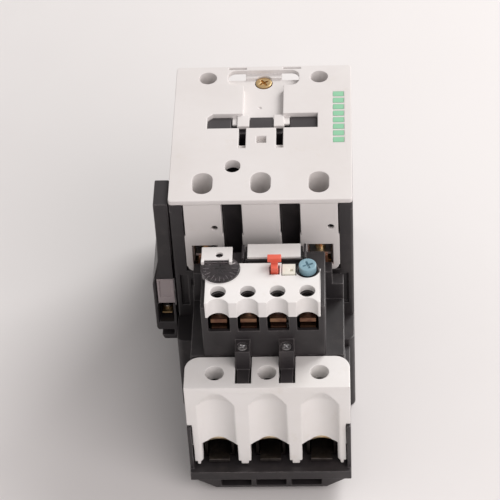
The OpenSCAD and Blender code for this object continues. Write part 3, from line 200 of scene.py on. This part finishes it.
# clear plastic: faint smoke, a little haze, fine scratches along one direction
def smokyClear(name, look):
    material, tree, shader, where = startMaterial(name)
    smoke = addRange(tree, addNoise(tree, where, look["smokeScale"], 4.0), 0.4, 0.6)
    tree.links.new(addMix(tree, smoke, look["colour"], look["cloudColour"]),
                   shader.inputs["Base Color"])
    shader.inputs["Transmission Weight"].default_value = look["clear"]
    shader.inputs["IOR"].default_value = look["ior"]
    haze = addNoise(tree, where, look["hazeScale"], 4.0)
    tree.links.new(addRange(tree, haze, 0.3, 0.7, *look["rough"]), shader.inputs["Roughness"])
    scratches = addNoise(tree, where, look["scratchScale"], 2.0, 0.5, look["stretch"])
    tree.links.new(addBump(tree, scratches, look["scratches"]), shader.inputs["Normal"])
    return material


# the edge colour in each look is lighter than the body: partly wear, partly painted sheen on the
# edges
plasticLook = dict(
    colour=(0.70, 0.675, 0.665), cloudColour=(0.66, 0.63, 0.615), cloudScale=22.0,
    grimeColour=(0.50, 0.42, 0.27), grimeScale=48.0, grimeFrom=0.60, grime=0.22,
    edgeWearSheenColour=(0.82, 0.80, 0.78), edgeRadius=0.0005, edgeWearSheen=0.3,
    cloudSpread=(0.35, 0.65), grimeSoft=0.16, rubScale=220.0, rubLeast=0.25,
    rough=0.50, glossScale=90.0, glossChange=(-0.06, 0.08), shine=0.45, ior=1.5,
    grainScale=2200.0, grain=0.000012, waveScale=55.0, waves=0.00005)
blackLook = dict(
    plasticLook, colour=(0.019, 0.017, 0.018), cloudColour=(0.027, 0.023, 0.025),
    grimeColour=(0.13, 0.11, 0.105), grimeFrom=0.52, grime=0.15, grimeScale=52.0,
    edgeWearSheenColour=(0.30, 0.275, 0.275), edgeRadius=0.0007, edgeWearSheen=0.8,
    rough=0.42, shine=0.5, grainScale=1900.0, grain=0.00002)
whiteLook = dict(
    plasticLook, colour=(0.80, 0.785, 0.775), cloudColour=(0.76, 0.74, 0.72),
    rough=0.36, grain=0.000007, edgeWearSheenColour=(0.9, 0.89, 0.87))
metalLook = dict(
    colour=(0.62, 0.62, 0.63), dullColour=(0.42, 0.41, 0.41), patchScale=120.0, metal=1.0,
    rough=0.28, dullRough=0.18, lineScale=900.0, stretch=(1.0, 9.0, 1.0), lines=0.00001)

finishes = {
    "black_plastic": mouldedPlastic("mouldedBlack", blackLook),
    "cover_grey": mouldedPlastic("coverGrey", plasticLook),
    "cover_white": mouldedPlastic("coverWhite", whiteLook),
    "marker_green": mouldedPlastic("markerGreen", dict(
        plasticLook, colour=(0.20, 0.50, 0.30), cloudColour=(0.27, 0.55, 0.36), edgeWearSheen=0.1)),
    "brass": workedMetal("brassBare", dict(
        metalLook, colour=(0.83, 0.62, 0.33), dullColour=(0.52, 0.35, 0.17))),
    "zinc_steel": workedMetal("zincSteel", metalLook),
    "spring_steel": workedMetal("springSteel", dict(metalLook, rough=0.22)),
    "copper": workedMetal("copperBare", dict(
        metalLook, colour=(0.80, 0.42, 0.27), dullColour=(0.42, 0.20, 0.13))),
    "winding_tape": mouldedPlastic("windingTape", dict(
        blackLook, colour=(0.20, 0.07, 0.03), cloudColour=(0.13, 0.05, 0.025))),
    "rubber_pad": mouldedPlastic("rubberPad", dict(blackLook, rough=0.8)),
    "bobbin_plastic": mouldedPlastic("bobbinCream", dict(plasticLook, colour=(0.62, 0.56, 0.42))),
    "carrier_plastic": mouldedPlastic("carrierBlack", dict(blackLook, colour=(0.05, 0.045, 0.048))),
    "slider_plastic": mouldedPlastic("sliderIvory", dict(plasticLook, colour=(0.66, 0.62, 0.54))),
    "side_grey": mouldedPlastic("sideGrey", dict(
        plasticLook, colour=(0.42, 0.365, 0.37), cloudColour=(0.37, 0.315, 0.32))),
    "dial_plastic": mouldedPlastic("dialBlack", dict(
        blackLook, colour=(0.07, 0.062, 0.066), cloudColour=(0.09, 0.08, 0.085), rough=0.2,
        grain=0.000004)),
    "smoky_clear": smokyClear("windowSmoky", dict(
        colour=(0.62, 0.58, 0.60), cloudColour=(0.48, 0.45, 0.47), smokeScale=160.0, clear=1.0,
        ior=1.49, hazeScale=500.0, rough=(0.05, 0.22), scratchScale=900.0,
        stretch=(1.0, 4.0, 1.0), scratches=0.00001)),
    "red_plastic": mouldedPlastic("stopRed", dict(
        plasticLook, colour=(0.76, 0.14, 0.09), cloudColour=(0.70, 0.11, 0.07), rough=0.33,
        edgeWearSheenColour=(0.85, 0.30, 0.22))),
    "blue_plastic": mouldedPlastic("resetBlue", dict(
        plasticLook, colour=(0.24, 0.38, 0.44), cloudColour=(0.20, 0.34, 0.42), rough=0.3,
        edgeWearSheenColour=(0.42, 0.66, 0.74))),
    "cream_plastic": mouldedPlastic("testCream", dict(whiteLook, colour=(0.76, 0.74, 0.62))),
    # darker copies of the metal finishes: painted shade for metal that sits deep in the openings
    "cagePaintedShade": workedMetal("cagePaintedShade", dict(
        metalLook, colour=(0.06, 0.052, 0.048), dullColour=(0.025, 0.021, 0.02), rough=0.4)),
    "barPaintedShade": workedMetal("barPaintedShade", dict(
        metalLook, colour=(0.17, 0.155, 0.145), dullColour=(0.06, 0.052, 0.048), rough=0.3)),
    "clampPaintedShade": workedMetal("clampPaintedShade", dict(
        metalLook, colour=(0.30, 0.17, 0.10), dullColour=(0.13, 0.06, 0.045), rough=0.38)),
    "paleBrass": workedMetal("paleBrass", dict(
        metalLook, colour=(0.92, 0.80, 0.58), dullColour=(0.70, 0.52, 0.30))),
}
# metal that sits deep in an opening, given a darker finish than its slot's: painted shade of the
# opening
paintedShadeNodes = dict(power_clamps="cagePaintedShade", power_terminals="barPaintedShade",
                   control_terminals="clampPaintedShade", control_clamps="clampPaintedShade")
for node, piece in cadNodes.items():
    piece.data.materials.clear()
    piece.data.materials.append(finishes[slotOf[node]])
print("materials made:", len(finishes))


shellMesh = dict(steps=2, sharp=28.0, flat=0.4, merge=0.000002, tiny=0.00003, stray=1.4,
                 keepSharp=40.0, evenWeight=80)


# a merged copy of a CAD node with small rounded edges, which stands for the node
def softShell(node, name, width):
    piece = bpy.data.objects.new(name, bpy.data.meshes.new(name))
    scene.collection.objects.link(piece)
    shape = bmesh.new()
    shape.from_mesh(cadNodes[node].data)
    for layer in list(shape.loops.layers.float_vector.values()):
        shape.loops.layers.float_vector.remove(layer)
    bmesh.ops.remove_doubles(shape, verts=shape.verts, dist=shellMesh["merge"])
    bmesh.ops.dissolve_degenerate(shape, dist=shellMesh["tiny"], edges=shape.edges)
    bmesh.ops.dissolve_limit(shape, angle_limit=math.radians(shellMesh["flat"]),
                             verts=shape.verts, edges=shape.edges,
                             use_dissolve_boundaries=False)
    bmesh.ops.triangulate(shape, faces=shape.faces, quad_method="BEAUTY", ngon_method="BEAUTY")
    skin = BVHTree.FromBMesh(shape)
    corner = math.radians(shellMesh["sharp"])
    edges = [e for e in shape.edges if len(e.link_faces) == 2
             and e.calc_face_angle() > corner]
    bmesh.ops.bevel(shape, geom=edges, offset=width, offset_type="OFFSET",
                    segments=shellMesh["steps"], profile=0.5, affect="EDGES",
                    clamp_overlap=False, loop_slide=False, material=-1)
    # a corner thrown off by the rounding goes back on the surface
    for v in shape.verts:
        point, normal, index, gap = skin.find_nearest(v.co)
        if gap > width * shellMesh["stray"]:
            v.co = point
    low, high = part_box(node)
    for v in shape.verts:
        v.co = [min(max(v.co[k], low[k]), high[k]) for k in range(3)]
    bmesh.ops.dissolve_degenerate(shape, dist=shellMesh["merge"], edges=shape.edges)
    for face in shape.faces:
        face.smooth = True
    keepSharp = math.radians(shellMesh["keepSharp"])
    for edge in shape.edges:
        if len(edge.link_faces) == 2:
            edge.smooth = edge.calc_face_angle() < keepSharp
    shape.to_mesh(piece.data)
    shape.free()
    even = piece.modifiers.new("evenShading", "WEIGHTED_NORMAL")
    even.keep_sharp = True
    even.weight = shellMesh["evenWeight"]
    # metal deep in an opening takes a darker finish here, as painted shade
    piece.data.materials.append(finishes[paintedShadeNodes.get(node, slotOf[node])])
    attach(piece, bodyOf[node])
    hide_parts(node)
    return piece


shellRound = dict(
    base_housing=0.0006, contact_housing=0.0004, front_cover=0.0004, power_cover=0.0005,
    control_cover=0.0003, relay_base=0.0004, relay_casing=0.0003, side_housing=0.0006,
    side_cover=0.0003, label_strip=0.00015, stop_button=0.0003, reset_button=0.00025,
    test_slide=0.0002, contact_carrier=0.0003, rail_clip=0.0003, dial_plate=0.0002,
    dial=0.0002, dial_window=0.00015, marker_strip=0.00006, side_slide=0.0002, reset_stem=0.0002,
    trip_bar=0.0002, trip_lever=0.0002, coil_bobbin=0.0003, coil_winding=0.0006,
    line_terminals=0.0002, load_terminals=0.0002, line_clamps=0.0002, load_clamps=0.0002,
    line_screws=0.0002, load_screws=0.0002, power_screws=0.0002, coil_screws=0.00015,
    control_screws=0.00015, casing_screws=0.00015, side_screws=0.00015, housing_screws=0.0002,
    power_terminals=0.0002, control_terminals=0.0001, control_clamps=0.00015,
    relay_tabs=0.0002, moving_contacts=0.0002, side_terminals=0.0001, side_bridges=0.0001,
    coil_terminals=0.0001, heater_bimetals=0.0001, trip_contact=0.0001, armature=0.0002,
    fixed_core=0.0002, shading_rings=0.0001, core_pad=0.0002, armature_pin=0.0001,
    arc_plates=0.0001, heater_windings=0.0001)
for node, width in shellRound.items():
    softShell(node, node + "Shell", width)
print("shells made:", len(shellRound))


# a mesh object that rides on a body, with its slot's finish or another one
def addPiece(name, shape, body, slotName, finish=None):
    piece = bpy.data.objects.new(name, bpy.data.meshes.new(name))
    scene.collection.objects.link(piece)
    shape.normal_update()
    shape.to_mesh(piece.data)
    shape.free()
    piece.data.materials.append(finishes[finish or slotName])
    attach(piece, body)
    return piece


# the vertices of each loose part of a mesh
def looseParts(shape):
    parts = []
    left = set(shape.verts)
    while left:
        part = {left.pop()}
        front = list(part)
        while front:
            near = {e.other_vert(v) for v in front for e in v.link_edges}
            front = [v for v in near if v in left]
            part.update(front)
            left.difference_update(front)
        parts.append(part)
    return parts


# the cages and the bowed plates of the power terminals, as two pieces
cageParts = dict(round=0.0002, plateHeight=0.0045)
clampShell = softShell("power_clamps", "powerCages", cageParts["round"])
clampMesh = bmesh.new()
clampMesh.from_mesh(clampShell.data)
plates = []
for part in looseParts(clampMesh):
    heights = [v.co.z for v in part]
    if max(heights) - min(heights) < cageParts["plateHeight"]:
        plates.extend(part)
plateMesh = clampMesh.copy()
keep = {v.index for v in plates}
bmesh.ops.delete(clampMesh, geom=plates, context="VERTS")
clampMesh.to_mesh(clampShell.data)
clampMesh.free()
plateMesh.verts.ensure_lookup_table()
bmesh.ops.delete(plateMesh, geom=[v for v in plateMesh.verts if v.index not in keep],
                 context="VERTS")
bowedPlates = addPiece("powerPlates", plateMesh, "housing", "brass", "paleBrass")
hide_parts("power_clamps")
print("power clamps split")


# a smooth wire coil between two corners, along an axis, with both wire ends closed by caps
def addCoil(shape, low, high, axis, look):
    middle = (low + high) / 2
    span = high[axis] - low[axis] - 2 * look["wire"]
    across = (axis + 1) % 3
    radius = (high[across] - low[across]) / 2 - look["wire"]
    steps = look["turns"] * look["stepsPerTurn"]
    along = Vector([1.0 if k == axis else 0.0 for k in range(3)])
    ring = bmesh.ops.create_circle(shape, cap_ends=False, radius=look["wire"],
                                   segments=look["sides"])
    out = Vector([1.0 if k == across else 0.0 for k in range(3)])
    turn = Matrix((out, along, out.cross(along))).transposed().to_4x4()
    start = middle + out * radius - along * (span / 2)
    bmesh.ops.transform(shape, verts=ring["verts"], matrix=Matrix.Translation(start) @ turn)
    edges = list({e for v in ring["verts"] for e in v.link_edges})
    made = bmesh.ops.spin(shape, geom=edges, cent=middle, axis=along, dvec=along * (span / steps),
                          angle=2 * math.pi * look["turns"], steps=steps, use_merge=False)
    last = [g for g in made["geom_last"] if isinstance(g, bmesh.types.BMEdge)]
    bmesh.ops.contextual_create(shape, geom=edges)
    bmesh.ops.contextual_create(shape, geom=last)


springLook = dict(wire=0.0004, turns=6, stepsPerTurn=30, sides=10)
coils = dict(
    return_springs=dict(look=springLook, axis=2, copies=2, body="housing",
                        squash=("carrier_slide", 0.77)),
    contact_springs=dict(look=dict(springLook, turns=5), axis=2, copies=3,
                         body="contact_carrier", squash=None),
    rail_spring=dict(look=dict(springLook, wire=0.00025, turns=7), axis=1, copies=1,
                     body="housing", squash=("rail_clip_slide", 0.7)),
    stop_spring=dict(look=dict(springLook, wire=0.00025, turns=7), axis=2, copies=1,
                     body="housing", squash=("stop_press", 0.72)),
    reset_spring=dict(look=dict(springLook, wire=0.0003), axis=2, copies=1, body="housing",
                      squash=("reset_press", 0.74)))
for node, row in coils.items():
    low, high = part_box(node)
    shape = bmesh.new()
    side = 0 if row["copies"] == 3 else 1
    width = high[1 - side] - low[1 - side]
    for k in range(row["copies"]):
        start, end = low.copy(), high.copy()
        if row["copies"] > 1:
            start[side] = low[side] + (high[side] - low[side] - width) * k / (row["copies"] - 1)
            end[side] = start[side] + width
        addCoil(shape, start, end, row["axis"], row["look"])
    bmesh.ops.recalc_face_normals(shape, faces=shape.faces)
    for face in shape.faces:
        face.smooth = len(face.verts) == 4
    coil = addPiece(node + "Coil", shape, row["body"], "spring_steel")
    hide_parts(node)
    if row["squash"]:
        anchor = [(low[k] + high[k]) / 2 for k in range(3)]
        anchor[row["axis"]] = low[row["axis"]]
        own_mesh(coil)
print("springs wound:", len(coils))


# printed marks round the dial, with a short one between two long ones
dialMarks = dict(count=24, inner=0.0052, outer=0.0079, width=0.0003, height=0.00012, short=0.45)
low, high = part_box("dial")
centre = (low + high) / 2
shape = bmesh.new()
for k in range(dialMarks["count"]):
    inner = dialMarks["inner"]
    if k % 2:
        inner = dialMarks["outer"] - (dialMarks["outer"] - inner) * dialMarks["short"]
    box = bmesh.ops.create_cube(shape, size=1.0)
    length = dialMarks["outer"] - inner
    place = (Matrix.Translation((centre.x, centre.y, high.z))
             @ Matrix.Rotation(2 * math.pi * k / dialMarks["count"], 4, "Z")
             @ Matrix.Translation((inner + length / 2, 0.0, 0.0))
             @ Matrix.Diagonal((length, dialMarks["width"], dialMarks["height"], 1.0)))
    bmesh.ops.transform(shape, verts=box["verts"], matrix=place)
addPiece("dialMarks", shape, "dial", "cover_grey")
print("dial marked")


studio = dict(
    floorColour=(0.74, 0.725, 0.72), floorCloud=(0.72, 0.70, 0.695), floorSize=6.0,
    floorDrop=0.0002, floorRough=(0.55, 0.7), worldColour=(0.92, 0.885, 0.875),
    worldStrength=0.5)
lights = dict(
    keyLight=dict(place=(0.94, 0.94, 1.19), aim=(0.0, 0.0, 0.06), size=0.9, power=23.5,
                  colour=(1.0, 0.985, 0.97)),
    fillLight=dict(place=(1.5, -1.7, 1.6), aim=(0.0, -0.03, 0.06), size=2.4, power=43.0,
                   colour=(1.0, 0.93, 0.92)))
view = dict(place=(0.04356, -0.78486, 0.82748), turn=(45.121, 2.479, 1.370), lens=160.0,
            sensor=36.0, nearest=0.05)
floor = bpy.data.objects.new("floor", bpy.data.meshes.new("floor"))
scene.collection.objects.link(floor)
shape = bmesh.new()
bmesh.ops.create_grid(shape, x_segments=1, y_segments=1, size=studio["floorSize"] / 2)
bmesh.ops.translate(shape, verts=shape.verts, vec=(0.0, 0.0, -studio["floorDrop"]))
shape.to_mesh(floor.data)
shape.free()
floorMaterial, tree, shader, where = startMaterial("paperFloor")
tree.links.new(addMix(tree, addRange(tree, addNoise(tree, where, 3.0), 0.3, 0.7),
                      studio["floorColour"], studio["floorCloud"]), shader.inputs["Base Color"])
tree.links.new(addRange(tree, addNoise(tree, where, 40.0), 0.3, 0.7, *studio["floorRough"]),
               shader.inputs["Roughness"])
floor.data.materials.append(floorMaterial)

for name, row in lights.items():
    lamp = bpy.data.lights.new(name, "AREA")
    lamp.shape = "RECTANGLE"
    lamp.size = lamp.size_y = row["size"]
    lamp.energy = row["power"]
    lamp.color = row["colour"]
    light = bpy.data.objects.new(name, lamp)
    light.location = row["place"]
    towards = Vector(row["aim"]) - Vector(row["place"])
    light.rotation_euler = towards.to_track_quat("-Z", "Y").to_euler()
    scene.collection.objects.link(light)
world = bpy.data.worlds.new("studioWorld")
world.use_nodes = True
background = world.node_tree.nodes["Background"]
background.inputs["Color"].default_value = (*studio["worldColour"], 1.0)
background.inputs["Strength"].default_value = studio["worldStrength"]
scene.world = world

lens = bpy.data.cameras.new("viewCamera")
lens.lens = view["lens"]
lens.sensor_width = view["sensor"]
lens.clip_start = view["nearest"]
camera = bpy.data.objects.new("viewCamera", lens)
camera.location = view["place"]
camera.rotation_euler = [math.radians(angle) for angle in view["turn"]]
scene.collection.objects.link(camera)
scene.camera = camera
scene.view_settings.view_transform = "Standard"
print("stage set")
